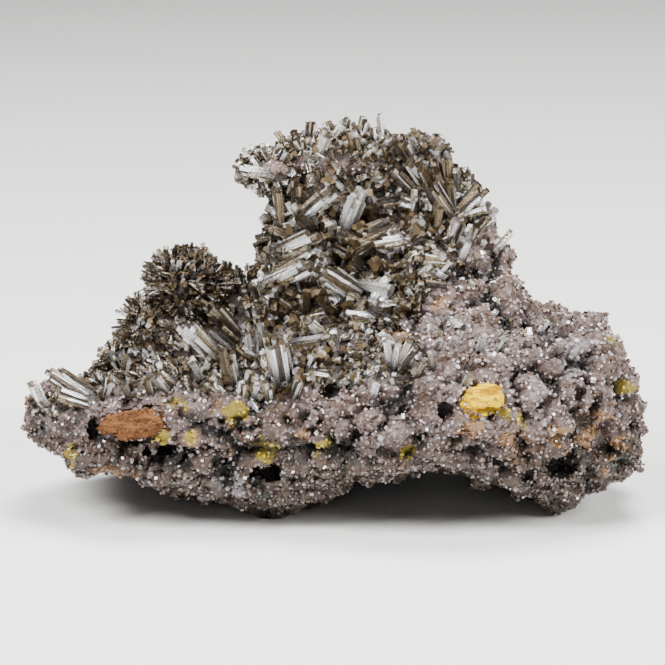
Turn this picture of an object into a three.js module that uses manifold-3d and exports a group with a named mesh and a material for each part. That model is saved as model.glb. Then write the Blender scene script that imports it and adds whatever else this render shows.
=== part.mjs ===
// Vanadinite specimen: a slab of crusted rock that rises to a tower, with clusters of
// hexagonal crystals on its upper slope and two earthy lumps set in its front face.
// Millimetres, +Z up, +X to the right, +Y away from the front. Origin at the middle of the base.
import * as THREE from "three";
import { mergeVertices } from "three/addons/utils/BufferGeometryUtils.js";
import { ImprovedNoise } from "three/addons/math/ImprovedNoise.js";
import Module from "manifold-3d";

const wasm = await Module();
wasm.setup();

// Driving dimensions of the rock
const FRONT_TUCK = 3.2; // how far the foot of the front face lies behind its belly
const LEDGE_DEPTH = 3.4; // shelf between the front face and the crystal slope
const CREST_WIDTH = 5; // level top of the ridge
const BASE_SINK = 1.6; // depth trimmed away to leave the flat resting patch
const STATIONS = 38; // sections along the slab
const RING = 28; // points round a section
const LUMP = { size: 7.5, height: 1.4 }; // swells of the rock
const BED = { length: 16, thickness: 2.6, height: 0.8 }; // ledges along the bedding

// The rock's outlines as [x, value], all seen square on
const FRONT_EDGE = [
  [-38, -11], [-35, -15.5], [-30, -19], [-22, -20.5], [-8, -20.5], [-1, -23],
  [6, -25.5], [18, -25.5], [27, -22.5], [34, -19.5], [36.6, -17.5], [37.6, -14],
];
const BACK_EDGE = [
  [-38, 1], [-34, 7], [-25, 14], [-12, 18], [6, 20], [20, 18.5], [31, 15], [36, 9], [37.6, 0],
];
const FRONT_FOOT = [
  [-38, 9.4], [-35, 9], [-33, 7.6], [-31, 5], [-29.6, 6], [-24.5, 6.4], [-22.8, 4.6], [-13, 3.6],
  [-5, 3], [-1.5, 4.6], [1.5, 7], [8, 8.3], [14.5, 9], [18.5, 7], [23, 5.8], [27, 4.2], [31, 4.4],
  [36, 5.4], [37.6, 6],
];
const LEDGE_TOP = [
  [-38, 13.8], [-35.5, 14.6], [-30, 15.6], [-20, 17], [-5, 18], [3, 19], [10, 20.5],
  [20, 22.5], [28, 24], [33.5, 24.2], [36.2, 19.5], [37.6, 14.5],
];
const RIDGE_TOP = [
  [-38, 14.2], [-35.5, 15], [-30, 16], [-27, 18.6], [-24.5, 23], [-22, 27], [-17, 28.6],
  [-13, 27.6], [-9.8, 26], [-8.8, 33], [-7.6, 39], [-6, 41.5], [-2, 43.6], [6, 45], [11, 43],
  [14, 40], [17, 36], [19.5, 33.6], [22, 31.4], [23.6, 26.5], [26.5, 24.4], [33.5, 24.8],
  [36.2, 19.5], [37.6, 14.5],
];
const RIDGE_DEPTH = [
  [-38, -6], [-33, -6], [-24, 1], [-10, 3], [5, 4.5], [18, 3], [25, -4], [35, -8], [37.6, -5],
];
// The underside rests on two feet, with an arch between them that is open to the front.
// Its front edge, and how far it hangs above the resting patch
const BASE_EDGE = [
  [-38, -4], [-28, -2], [-15, -1], [-3, -2], [1.5, 3], [8, 4], [14.5, 6], [19, 5], [23, 4], [31, 3],
  [37.6, 2],
];
const BASE_LIFT = [
  [-38, 10.6], [-34, 9], [-30, 7], [-24, 4.8], [-19, 2.7], [-14, 0.6], [-11, 0], [-3, 0], [1, 3],
  [4, 4.1], [8, 4.6], [14.5, 4.6], [18.5, 3.1], [22.5, 1.6], [24.5, 0], [29, 0], [31, 2], [34, 5],
  [37.6, 7],
];

// The crystals grow on the rock with a hairline between, so that each cluster is its own piece
const HAIRLINE = 0.3;
const CRUST = 0.9; // thickness of the crust of small crystals that a cluster grows from
const ROOT = 1.6; // length of a crystal below the surface that it grows from
const SIX = 6; // sides of a vanadinite crystal
const TAPER = 0.88; // tip width as a share of root width
const BUNDLE_WIDTH = 2.4; // from this width a crystal is a bundle of parallel ones
const BUNDLE = [
  { aside: 0, length: 1, width: 0.66 },
  { aside: 0.3, length: 0.8, width: 0.5 },
  { aside: -0.28, length: 0.68, width: 0.5 },
]; // its crystals, as shares of its width and length
const BALL_CORE = 0.66; // solid heart of a ball of crystals, as a share of its reach
const BALL_COVER = 1.15; // how far down the ball its crystals go: 1 is to its waist
const SLIVER = 0.06; // thinnest facet kept
const GOLDEN_ANGLE = Math.PI * (3 - Math.sqrt(5));

// The front view that places are read in: a square of 665 steps, 8 to the millimetre at its middle
const VIEW_SIZE = 665;
const VIEW_SCALE = 8;
const VIEW_ANGLE = THREE.MathUtils.degToRad(12);
const VIEW_DISTANCE = 420;
const VIEW_TARGET = new THREE.Vector3(0, 0, 21);
const RIGHT = new THREE.Vector3(1, 0, 0);
const UP = new THREE.Vector3(0, Math.sin(VIEW_ANGLE), Math.cos(VIEW_ANGLE));
const NEARER = new THREE.Vector3(0, -Math.cos(VIEW_ANGLE), Math.sin(VIEW_ANGLE));
const VIEWPOINT = VIEW_TARGET.clone().addScaledVector(NEARER, VIEW_DISTANCE);

// Crystals as [root x, root y, tip x, tip y, width] in view steps and the lean towards the viewer
const CROWN = [
  [264, 174, 237, 168, 14, 10], [258, 166, 247, 152, 8, 0], [284, 142, 276, 131, 8, 10],
  [312, 130, 313, 117, 8, 0], [335, 138, 348, 121, 12, 20], [320, 153, 330, 132, 12, 30],
  [357, 153, 352, 132, 12, 35], [382, 140, 378, 112, 10, 10], [408, 141, 420, 128, 12, 10],
  [428, 146, 440, 134, 10, 10],
];
const SHOULDER = [
  [445, 210, 398, 145, 22, 25], [445, 200, 430, 150, 14, 20], [450, 200, 447, 152, 14, 15],
  [455, 205, 458, 165, 14, 15], [458, 212, 482, 188, 16, 15], [462, 215, 486, 208, 10, 20],
  [452, 240, 460, 218, 16, 35], [470, 240, 478, 222, 12, 20], [415, 190, 392, 165, 20, 30],
  [500, 246, 512, 231, 9, 10],
];
const TOWER_FRONT = [
  [307, 213, 334, 192, 20, 35], [348, 221, 358, 194, 18, 40], [355, 195, 345, 180, 10, 40],
  [298, 206, 297, 180, 16, 30], [283, 225, 278, 185, 10, 20], [385, 225, 350, 242, 20, 45],
  [405, 240, 372, 248, 12, 45], [285, 200, 264, 190, 10, 5], [283, 235, 268, 228, 9, 5],
];
const VALLEY = [
  [280, 252, 318, 238, 20, 40], [270, 282, 310, 262, 22, 35], [352, 290, 316, 268, 24, 40],
  [350, 262, 345, 270, 12, 70], [306, 312, 306, 289, 13, 40], [272, 292, 297, 308, 10, 45],
  [362, 285, 395, 292, 12, 45], [446, 262, 412, 258, 10, 35],
];
const LOWER_SLOPE = [
  [250, 356, 247, 331, 9, 30], [262, 345, 258, 318, 10, 30], [285, 374, 278, 336, 28, 35],
  [300, 345, 328, 342, 20, 45], [306, 334, 306, 320, 12, 40], [278, 338, 278, 325, 12, 35],
  [235, 332, 210, 305, 20, 25], [230, 345, 208, 326, 9, 30], [213, 355, 182, 322, 20, 25],
  [198, 376, 190, 360, 8, 40], [232, 384, 226, 350, 18, 35], [255, 360, 232, 343, 10, 35],
  [246, 383, 250, 368, 8, 40], [268, 394, 266, 382, 8, 40],
];
const LEFT_END = [
  [88, 394, 48, 368, 22, 15], [85, 398, 55, 385, 10, 20], [85, 405, 57, 396, 8, 25],
  [44, 404, 33, 380, 10, 5],
];
const RIGHT_FAN = [
  [390, 360, 386, 337, 8, 35], [395, 362, 398, 340, 8, 35], [400, 360, 408, 338, 8, 35],
];

// Patches of crust as [x, y] in view steps and a radius in millimetres
const TOWER_CRUST = [
  [330, 160, 8], [300, 225, 6], [345, 235, 6], [420, 170, 6], [455, 225, 5], [300, 285, 4],
  [350, 285, 4], [400, 262, 5], [425, 266, 3],
];
const SLOPE_CRUST = [[225, 350, 5], [255, 365, 5], [292, 350, 5]];
const LEFT_CRUST = [[116, 334, 2.6], [98, 358, 3.4], [84, 388, 4], [66, 396, 3]];
const FAN_CRUST = [[396, 357, 2.4]];

// Lumps of fine crystals that stand out from the tower: its brim on the left, its cap on the right
const BRIM = { at: [-7.6, 2, 41.2], radii: [4, 5, 2.8] };
const CAP = { at: [11, 3.6, 43.6], radii: [3.2, 3.6, 2.2] };

// Balls of crystals that radiate from a point
const KNOBS = [
  { at: [-18.2, -1, 26.8], reach: 6.4, width: 1.5, count: 27 },
  { at: [-23.2, -3, 22.4], reach: 3, width: 1, count: 10 },
];
const LEFT_KNOBS = [
  { at: [-27, -4.5, 18.6], reach: 2.4, width: 1, count: 7 },
  { at: [-30, -7, 15.6], reach: 2.4, width: 0.9, count: 7 },
];

// The two lumps in the front face, and the rock's pits, as [x, y] in view steps and radii
const ORANGE_LUMP = { at: [133, 425], radii: [4.7, 2.4, 2], sink: 1, roll: 7 };
const YELLOW_LUMP = { at: [481, 401], radii: [3.1, 2, 2.2], sink: 0.8, roll: 12 };
const PITS = [
  { at: [446, 411], radii: [1, 2, 1.2] }, { at: [545, 405], radii: [1.8, 2, 1.2] },
  { at: [577, 394], radii: [1.4, 1.8, 1.2] }, { at: [562, 470], radii: [2.4, 3, 1.8] },
  { at: [610, 446], radii: [3.2, 2.4, 2.8] }, { at: [156, 452], radii: [2.2, 2, 1] },
  { at: [330, 390], radii: [1.6, 2, 1] }, { at: [262, 474], radii: [2.4, 2.2, 1.2] },
  { at: [395, 455], radii: [2.6, 2, 1.2] }, { at: [93, 428], radii: [1.2, 2, 1.6] },
];

const mix = THREE.MathUtils.lerp;

// Value of an outline at x, straight between its points
function along(outline, x) {
  const next = outline.findIndex(([at]) => at >= x);
  if (next < 0) return outline.at(-1)[1];
  if (next === 0) return outline[0][1];
  const [x0, v0] = outline[next - 1];
  const [x1, v1] = outline[next];
  return mix(v0, v1, (x - x0) / (x1 - x0));
}

// One closed section of the rock at x, from the foot of its front face round to its base
function section(x) {
  const front = along(FRONT_EDGE, x);
  const back = along(BACK_EDGE, x);
  const foot = along(FRONT_FOOT, x);
  const ledge = along(LEDGE_TOP, x);
  const ridge = along(RIDGE_TOP, x);
  const crest = along(RIDGE_DEPTH, x);
  const base = along(BASE_LIFT, x) - BASE_SINK;
  const shelf = Math.min(front + LEDGE_DEPTH, mix(front, crest, 0.6));
  const half = Math.min(CREST_WIDTH / 2, (back - crest) / 3);
  const outline = [
    [Math.min(front + FRONT_TUCK, mix(front, crest, 0.5)), foot],
    [front, mix(foot, ledge, 0.35)],
    [front, mix(foot, ledge, 0.78)],
    [mix(front, shelf, 0.6), ledge],
    [mix(shelf, crest, 0.45), mix(ledge, ridge, 0.3)],
    [crest - half, mix(ledge, ridge, 0.95)],
    [crest + half, ridge],
    [mix(crest, back, 0.65), mix(ridge, foot, 0.4)],
    [back, mix(base, ridge, 0.35)],
    [mix(back, front, 0.04), mix(base, ridge, 0.12)],
    [mix(back, front, 0.12), base],
    [along(BASE_EDGE, x), base],
  ];
  const curve = new THREE.CatmullRomCurve3(
    outline.map(([y, z]) => new THREE.Vector3(x, y, z)),
    true,
    "centripetal",
  );
  return Array.from({ length: RING }, (_, k) => curve.getPoint(k / RING));
}

// The rock's skin: its sections joined into one closed surface, with swells and bedding ledges
function rockGeometry() {
  const left = RIDGE_TOP[0][0];
  const right = RIDGE_TOP.at(-1)[0];
  const loops = Array.from({ length: STATIONS }, (_, i) => section(mix(left, right, i / (STATIONS - 1))));
  const points = loops.flat();
  const faces = [];
  for (let i = 0; i + 1 < STATIONS; i++) {
    for (let k = 0; k < RING; k++) {
      const a = i * RING + k;
      const b = i * RING + ((k + 1) % RING);
      faces.push(a, a + RING, b, b, a + RING, b + RING);
    }
  }
  for (const [first, flip] of [[0, false], [(STATIONS - 1) * RING, true]]) {
    const middle = points.length;
    const centre = new THREE.Vector3();
    for (let k = 0; k < RING; k++) centre.addScaledVector(points[first + k], 1 / RING);
    points.push(centre);
    for (let k = 0; k < RING; k++) {
      const a = first + k;
      const b = first + ((k + 1) % RING);
      faces.push(middle, ...(flip ? [b, a] : [a, b]));
    }
  }
  const geometry = new THREE.BufferGeometry().setFromPoints(points);
  geometry.setIndex(faces);
  roughen(geometry);
  return geometry;
}

// Gives a skin the rock's swells and ledges
function roughen(geometry) {
  const noise = new ImprovedNoise();
  pushOut(geometry, ({ x, y, z }) => {
    const swell = noise.noise(x / LUMP.size, y / LUMP.size, z / LUMP.size);
    const bed = noise.noise(x / BED.length, y / BED.length, z / BED.thickness);
    return LUMP.height * swell + BED.height * bed;
  });
}

// Moves each point of a skin along its normal by a distance that depends on the point
function pushOut(geometry, distance) {
  geometry.computeVertexNormals();
  const place = geometry.getAttribute("position");
  const normal = geometry.getAttribute("normal").clone();
  const p = new THREE.Vector3();
  const n = new THREE.Vector3();
  for (let i = 0; i < place.count; i++) {
    p.fromBufferAttribute(place, i);
    n.fromBufferAttribute(normal, i);
    p.addScaledVector(n, distance(p));
    place.setXYZ(i, p.x, p.y, p.z);
  }
  geometry.computeVertexNormals();
}

// A closed three.js geometry as a solid for cutting and joining
function solid(geometry) {
  const bare = geometry.clone();
  bare.deleteAttribute("normal");
  bare.deleteAttribute("uv");
  const merged = mergeVertices(bare);
  return new wasm.Manifold(
    new wasm.Mesh({
      numProp: 3,
      vertProperties: new Float32Array(merged.getAttribute("position").array),
      triVerts: new Uint32Array(merged.index.array),
    }),
  );
}

// A solid back as a three.js mesh with flat faces, without the slivers that cuts leave
function meshOf(name, body, material) {
  const { vertProperties, triVerts } = body.simplify(SLIVER).getMesh();
  const geometry = new THREE.BufferGeometry();
  geometry.setAttribute("position", new THREE.BufferAttribute(vertProperties, 3));
  geometry.setIndex(new THREE.BufferAttribute(triVerts, 1));
  geometry.computeVertexNormals();
  const mesh = new THREE.Mesh(geometry, material);
  mesh.name = name;
  return mesh;
}

const rockSkin = rockGeometry();
const rockMesh = new THREE.Mesh(rockSkin, new THREE.MeshBasicMaterial({ side: THREE.DoubleSide }));

// The untrimmed rock with its skin moved outwards
function rockGrown(distance) {
  const skin = rockSkin.clone();
  pushOut(skin, () => distance);
  return solid(skin);
}

// The rock's point that shows at a place in the front view; beside the rock, one in its ridge's plane
function seen(x, y) {
  const across = (x - VIEW_SIZE / 2) / VIEW_SCALE;
  const up = (VIEW_SIZE / 2 - y) / VIEW_SCALE;
  const aim = VIEW_TARGET.clone().addScaledVector(RIGHT, across).addScaledVector(UP, up);
  const sight = aim.sub(VIEWPOINT).normalize();
  const [hit] = new THREE.Raycaster(VIEWPOINT, sight).intersectObject(rockMesh);
  if (hit) return hit.point;
  const reach = (along(RIDGE_DEPTH, across) - VIEWPOINT.y) / sight.y;
  return VIEWPOINT.clone().addScaledVector(sight, reach);
}

// Solids joined into one
function joined(bodies) {
  return bodies.reduce((sum, body) => sum.add(body));
}

// A low ball with flat facets, stretched to its radii
function lump({ at, radii, roll = 0 }, growth = 0, detail = 1) {
  const ball = new THREE.IcosahedronGeometry(1, detail);
  ball.scale(...radii.map((radius) => radius + growth));
  ball.rotateY(-THREE.MathUtils.degToRad(roll));
  ball.translate(...at);
  return solid(ball);
}

// A hexagonal crystal from its root along its axis, with a stub below the root
function prism(root, axis, length, width, stub = ROOT) {
  const shape = new THREE.CylinderGeometry((TAPER * width) / 2, width / 2, length + stub, SIX);
  shape.translate(0, (length - stub) / 2, 0);
  shape.applyQuaternion(new THREE.Quaternion().setFromUnitVectors(new THREE.Vector3(0, 1, 0), axis));
  shape.translate(...root);
  return solid(shape);
}

// A direction in the plane of the front view, turned from its right
function inView(turn) {
  return new THREE.Vector3().addScaledVector(RIGHT, Math.cos(turn)).addScaledVector(UP, Math.sin(turn));
}

// A crystal placed in the front view, with two shorter ones beside it where it is wide
function crystal([rootX, rootY, tipX, tipY, steps, lean]) {
  const root = seen(rootX, rootY);
  const width = steps / VIEW_SCALE;
  const rise = Math.hypot(tipX - rootX, tipY - rootY) / VIEW_SCALE;
  const turn = Math.atan2(rootY - tipY, tipX - rootX);
  const tilt = THREE.MathUtils.degToRad(lean);
  const ahead = inView(turn);
  const side = inView(turn + Math.PI / 2);
  const axis = ahead.multiplyScalar(Math.cos(tilt)).addScaledVector(NEARER, Math.sin(tilt));
  const length = rise / Math.cos(tilt);
  if (width < BUNDLE_WIDTH) return prism(root, axis, length, width);
  const members = BUNDLE.map((share) => {
    const place = root.clone().addScaledVector(side, share.aside * width);
    return prism(place, axis, share.length * length, share.width * width);
  });
  return joined(members);
}

// Crystals that radiate from a point, spread evenly over the dome that faces up and out
function spray({ at, reach, width, count }) {
  const centre = new THREE.Vector3(...at);
  const crystals = Array.from({ length: count }, (_, i) => {
    const height = 1 - (BALL_COVER * (i + 0.5)) / count;
    const ring = Math.sqrt(1 - height * height);
    const turn = i * GOLDEN_ANGLE;
    const axis = new THREE.Vector3(ring * Math.cos(turn), ring * Math.sin(turn), height);
    return prism(centre, axis, reach * (0.84 + 0.08 * (i % 3)), width, 0);
  });
  return joined([...crystals, lump({ at, radii: Array(3).fill(BALL_CORE * reach) })]);
}

// Crust over the rock where balls round the patches' places reach it
function crust(patches) {
  const balls = patches.map(([x, y, radius]) => lump({ at: seen(x, y), radii: Array(3).fill(radius) }));
  return rockGrown(CRUST).intersect(joined(balls));
}

// The largest connected piece of a solid
function mainPiece(body) {
  return body.decompose().sort((a, b) => b.volume() - a.volume())[0];
}

// The rock: trimmed flat below, pitted, and hollowed for the two lumps
function matrix() {
  const size = 2 * VIEW_DISTANCE;
  const above = solid(new THREE.BoxGeometry(size, size, size).translate(0, 0, size / 2));
  const pits = PITS.map(({ at, radii }) => lump({ at: seen(...at), radii }, 0, 0));
  const sockets = [ORANGE_LUMP, YELLOW_LUMP].map((spec) => lump(setIn(spec), HAIRLINE));
  return mainPiece(solid(rockSkin).intersect(above).subtract(joined([...pits, ...sockets])));
}

// A lump's place, sunk into the face of the rock
function setIn({ at, sink, ...rest }) {
  return { at: seen(...at).addScaledVector(NEARER, -sink), ...rest };
}

const cover = rockGrown(HAIRLINE);
const clusters = {
  tower_crystals: joined([
    ...[...CROWN, ...SHOULDER, ...TOWER_FRONT, ...VALLEY].map(crystal),
    crust(TOWER_CRUST),
    lump(BRIM),
    lump(CAP),
  ]),
  knob_crystals: joined(KNOBS.map(spray)),
  slope_crystals: joined([...LOWER_SLOPE.map(crystal), crust(SLOPE_CRUST)]),
  left_crystals: joined([...LEFT_KNOBS.map(spray), ...LEFT_END.map(crystal), crust(LEFT_CRUST)]),
  fan_crystals: joined([...RIGHT_FAN.map(crystal), crust(FAN_CRUST)]),
};

const specimen = new THREE.Group();
specimen.name = "vanadinite_specimen";
const stone = (color, roughness) => new THREE.MeshStandardMaterial({ color, roughness, metalness: 0 });
specimen.add(meshOf("matrix", matrix(), stone(0x9a8f8c, 0.75)));
specimen.add(meshOf("orange_lump", lump(setIn(ORANGE_LUMP)), stone(0x996c47, 0.9)));
specimen.add(meshOf("yellow_lump", lump(setIn(YELLOW_LUMP)), stone(0xd4b864, 0.9)));
for (const [name, body] of Object.entries(clusters)) {
  specimen.add(meshOf(name, mainPiece(body.subtract(cover)), stone(0x8a7d68, 0.3)));
}

// The origin is below the middle of the specimen's box
const box = new THREE.Box3().setFromObject(specimen);
const middle = box.getCenter(new THREE.Vector3());
specimen.position.set(-middle.x, -middle.y, -box.min.z);
export default specimen;
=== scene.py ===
# %% [markdown]
# # Vanadinite on a crusted rock
# The specimen is a slab of rock that rises to a tower. A lilac crust of tiny grains covers it, and
# vanadinite has grown on its upper slope as stacks of slender six-sided prisms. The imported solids
# give every piece its size and place. This lesson dresses them with grains, prisms and finishes.

# %% Load the frame
import math

import bmesh
import bpy
import numpy as np
from mathutils import Matrix, Vector, noise
from mathutils.bvhtree import BVHTree


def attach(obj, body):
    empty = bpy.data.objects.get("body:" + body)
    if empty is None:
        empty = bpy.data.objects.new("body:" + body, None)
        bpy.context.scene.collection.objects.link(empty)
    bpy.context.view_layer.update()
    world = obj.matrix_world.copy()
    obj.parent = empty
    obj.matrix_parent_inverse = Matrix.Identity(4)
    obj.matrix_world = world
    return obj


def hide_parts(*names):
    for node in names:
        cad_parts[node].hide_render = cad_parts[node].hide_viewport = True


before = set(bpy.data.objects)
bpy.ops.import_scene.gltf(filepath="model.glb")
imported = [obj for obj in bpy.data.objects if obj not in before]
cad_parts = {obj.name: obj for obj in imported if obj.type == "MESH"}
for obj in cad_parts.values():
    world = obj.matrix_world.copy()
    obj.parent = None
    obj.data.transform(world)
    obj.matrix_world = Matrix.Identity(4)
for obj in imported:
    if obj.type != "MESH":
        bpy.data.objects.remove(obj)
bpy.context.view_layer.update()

MM = 0.001


def put(name, data):
    """A new object in the scene."""
    thing = bpy.data.objects.new(name, data)
    bpy.context.scene.collection.objects.link(thing)
    return thing


print("solids:", sorted(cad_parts))

# %% [markdown]
# ## The camera and the front view
# The larger crystals have known places in one front view, so the camera comes first. It stands in
# front of the rock and a little above. A line of sight through any place of the square image then
# finds the spot on the rock where a crystal has its root, which keeps it seated from every side.

# %% Set up the camera
IMAGE = 665
STEPS_PER_MM = 8
VIEW_ANGLE = math.radians(12)
VIEW_DISTANCE = 420 * MM
NEAR_LIMIT = 10 * MM
VIEW_TARGET = Vector((0, 3.35 * MM, 21 * MM))
RIGHT = Vector((1, 0, 0))
UP = Vector((0, math.sin(VIEW_ANGLE), math.cos(VIEW_ANGLE)))
NEARER = Vector((0, -math.cos(VIEW_ANGLE), math.sin(VIEW_ANGLE)))
EYE = VIEW_TARGET + NEARER * VIEW_DISTANCE

camera = put("camera", bpy.data.cameras.new("camera"))
camera.location = EYE
camera.rotation_euler = (math.pi / 2 - VIEW_ANGLE, 0, 0)
camera.data.lens = camera.data.sensor_width * VIEW_DISTANCE / MM * STEPS_PER_MM / IMAGE
camera.data.clip_start = NEAR_LIMIT
bpy.context.scene.camera = camera
print("lens", round(camera.data.lens), "mm")

# %% Find places on the rock by line of sight
RIDGE_DEPTH = 6 * MM
MERGE_REACH = 1e-6


def merged_copy(node):
    """A copy of a solid's mesh with its loose triangles joined."""
    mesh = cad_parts[node].data.copy()
    work = bmesh.new()
    work.from_mesh(mesh)
    bmesh.ops.remove_doubles(work, verts=work.verts, dist=MERGE_REACH)
    work.to_mesh(mesh)
    work.free()
    mesh.materials.clear()
    return mesh


def surface_of(mesh):
    """A search tree over a mesh's faces."""
    points = [v.co.copy() for v in mesh.vertices]
    return BVHTree.FromPolygons(points, [tuple(p.vertices) for p in mesh.polygons])


rock_solid = merged_copy("matrix")
grounds = [surface_of(rock_solid)]


def seen(x, y):
    """The first ground at an image place; beside the rock, a point in the plane of its ridge."""
    across = (x - IMAGE / 2) / STEPS_PER_MM * MM
    up = (IMAGE / 2 - y) / STEPS_PER_MM * MM
    sight = (VIEW_TARGET + RIGHT * across + UP * up - EYE).normalized()
    hits = [ground.ray_cast(EYE, sight) for ground in grounds]
    hits = [hit for hit in hits if hit[0]]
    if hits:
        return min(hits, key=lambda hit: hit[3])[0]
    return EYE + sight * ((RIDGE_DEPTH - EYE.y) / sight.y)


print("tower seen at", [round(c / MM, 1) for c in seen(350, 200)], "mm")

# %% [markdown]
# ## Nodes written as Python
# Both shaders and Geometry Nodes are graphs. Placing each node by hand is slow to read, so one
# small class wraps a socket and turns Python's operators into Math nodes, and one method makes any
# other node from its type, its settings and what goes into its sockets.

# %% Wrap a socket


class Wire:
    """One output socket. Arithmetic on it adds Math nodes to its tree."""

    def __init__(self, graph, socket):
        self.graph = graph
        self.socket = socket

    def other(self, name):
        """Another output of the same node."""
        return Wire(self.graph, self.socket.node.outputs[name])

    def math(self, operation, *values):
        inputs = dict(enumerate((self, *values)))
        return self.graph.node("ShaderNodeMath", {"operation": operation}, inputs)

    def __add__(self, value):
        return self.math("ADD", value)

    def __sub__(self, value):
        return self.math("SUBTRACT", value)

    def __rsub__(self, value):
        return (self * -1) + value

    def __mul__(self, value):
        return self.math("MULTIPLY", value)

    def __truediv__(self, value):
        return self.math("DIVIDE", value)

    def __rtruediv__(self, value):
        return (self ** -1) * value

    def __pow__(self, value):
        return self.math("POWER", value)

    def limited(self):
        """The value kept between 0 and 1."""
        return self.math("MAXIMUM", 0.0).math("MINIMUM", 1.0)

    def step(self, low, high):
        """0 below low, 1 above high, smooth between."""
        settings = {"interpolation_type": "SMOOTHSTEP"}
        return self.graph.node("ShaderNodeMapRange", settings, {"Value": self, 1: low, 2: high})


print("socket wrapper ready")

# %% Wrap a tree


class Graph:
    """A node tree with one way to add a node."""

    def __init__(self, tree):
        self.tree = tree

    def node(self, kind, settings=None, inputs=None, out=0):
        """Adds a node and gives one of its outputs."""
        made = self.tree.nodes.new(kind)
        for key, value in (settings or {}).items():
            if key == "stops":
                self.set_stops(made.color_ramp, value)
            else:
                setattr(made, key, value)
        for key, value in (inputs or {}).items():
            if isinstance(value, Wire):
                self.tree.links.new(value.socket, made.inputs[key])
            else:
                made.inputs[key].default_value = value
        return Wire(self, made.outputs[out]) if made.outputs else made

    @staticmethod
    def set_stops(ramp, stops):
        while len(ramp.elements) < len(stops):
            ramp.elements.new(1.0)
        for element, (place, colour) in zip(ramp.elements, stops):
            element.position = place
            element.color = (*colour, 1.0)

    def vector(self, operation, *values):
        return self.node("ShaderNodeVectorMath", {"operation": operation}, dict(enumerate(values)))

    def scaled(self, vector, factor):
        """A vector times a number."""
        settings = {"operation": "SCALE"}
        return self.node("ShaderNodeVectorMath", settings, {0: vector, "Scale": factor})

    def combined(self, x, y, z):
        """A vector from three numbers."""
        return self.node("ShaderNodeCombineXYZ", None, {0: x, 1: y, 2: z})

    def part(self, vector, axis):
        """One of a vector's three numbers."""
        return self.node("ShaderNodeSeparateXYZ", None, {0: vector}, axis)

    def noise(self, place, size, detail=2.0, roughness=0.5):
        """Cloudy noise with swells of about that size in metres, from 0 to 1."""
        inputs = {"Vector": place, "Scale": 1 / size, "Detail": detail, "Roughness": roughness}
        return self.node("ShaderNodeTexNoise", None, inputs)

    def mix(self, factor, a, b):
        """Colour a where factor is 0, b where it is 1."""
        return self.node("ShaderNodeMix", {"data_type": "RGBA"}, {0: factor, 6: a, 7: b}, out=2)


print("tree wrapper ready")

# %% [markdown]
# ## Finishes
# The crust and its grains are lilac grey with brown and ochre patches, with painted shade in the
# hollows, under the crystals, between the grains and towards the foot. The prisms have an almost
# metallic lustre, because vanadinite bends light strongly, so their shader is mostly metal with a high
# index of refraction.
# The two lumps are dull earth, with painted shade in their hollows. Colour follows each mesh's own
# attributes: every side of a prism has its own tint as a painted glint, with fine stripes along it,
# and the palest tints are painted reflection.

# %% Start a finish


def srgb(red, green, blue):
    """A colour given in 0 to 255, as the linear values that shaders use."""
    shares = [c / 255 for c in (red, green, blue)]
    return tuple(s / 12.92 if s <= 0.04045 else ((s + 0.055) / 1.055) ** 2.4 for s in shares)


def rgba(red, green, blue):
    """The same with an alpha of 1."""
    return (*srgb(red, green, blue), 1.0)


class Finish(Graph):
    """A material's graph, with its Principled shader at hand."""

    def __init__(self, name):
        self.material = bpy.data.materials.new(name)
        self.material.use_nodes = True
        super().__init__(self.material.node_tree)
        self.shader = self.tree.nodes["Principled BSDF"]
        self.place = self.node("ShaderNodeTexCoord", None, None, "Object")

    def attribute(self, name, out="Fac"):
        return self.node("ShaderNodeAttribute", {"attribute_name": name}, None, out)

    def feed(self, **sockets):
        """Fills the shader's sockets; an underscore stands for a space."""
        for name, value in sockets.items():
            socket = self.shader.inputs[name.replace("_", " ")]
            if isinstance(value, Wire):
                self.tree.links.new(value.socket, socket)
            else:
                socket.default_value = value
        return self.material

    def bump(self, height, depth):
        return self.node("ShaderNodeBump", None, {"Height": height, "Distance": depth})


print("finish helper ready")

# %% Crust finish
LILAC = rgba(116, 97, 94)
PALE = rgba(174, 164, 170)
BROWN = rgba(78, 52, 32)
# Painted shade: laid into hollows, between grains, at grain roots and towards the foot.
PAINTED_SHADE = rgba(20, 14, 9)
# Painted shade in dark brown on the ground under the crystals.
CRYSTAL_GROUND_SHADE = rgba(36, 27, 15)
BRIGHT_GRAIN = rgba(206, 198, 208)
# How much painted shade darkens the rock between its grains.
GRAIN_GAP_SHADE = 0.5
GROUND_SHADE_STRENGTH = 0.85
CLOUD_SIZE = 5 * MM
SPECK_SIZE = 0.6 * MM
SPECK_SHARE = 0.7
BELT_HEIGHTS = (17 * MM, 6 * MM)
BELT_BROWN = 0.16
# How much painted shade darkens the crust towards its foot.
BELT_SHADE = 2.5
GRIT_SIZE = 0.3 * MM
GRIT_BUMP = 0.2 * MM
STAIN_EDGE = (0.0, 0.3)
# Where and how strongly the hollows take painted shade.
HOLLOW_EDGE = (0.12, 0.92)
HOLLOW_SHADE_STRENGTH = 0.95
END_EDGE = (0.97, 0.995)
# Heights over which pale grains grow paler: painted light from above.
LIGHT_FROM_ABOVE_HEIGHTS = (8 * MM, 22 * MM)
# Each stain has a colour and a strength.
STAINS = {
    "pink": (rgba(140, 112, 102), 0.5),
    # The pale colour also serves as painted light on one spot.
    "pale": (rgba(158, 154, 160), 0.45),
    "umber": (rgba(58, 38, 26), 0.75),
    "ochre": (rgba(154, 112, 62), 0.8),
    "orange": (rgba(110, 70, 34), 0.7),
    "yellow": (rgba(146, 126, 0), 1.0),
}


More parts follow.
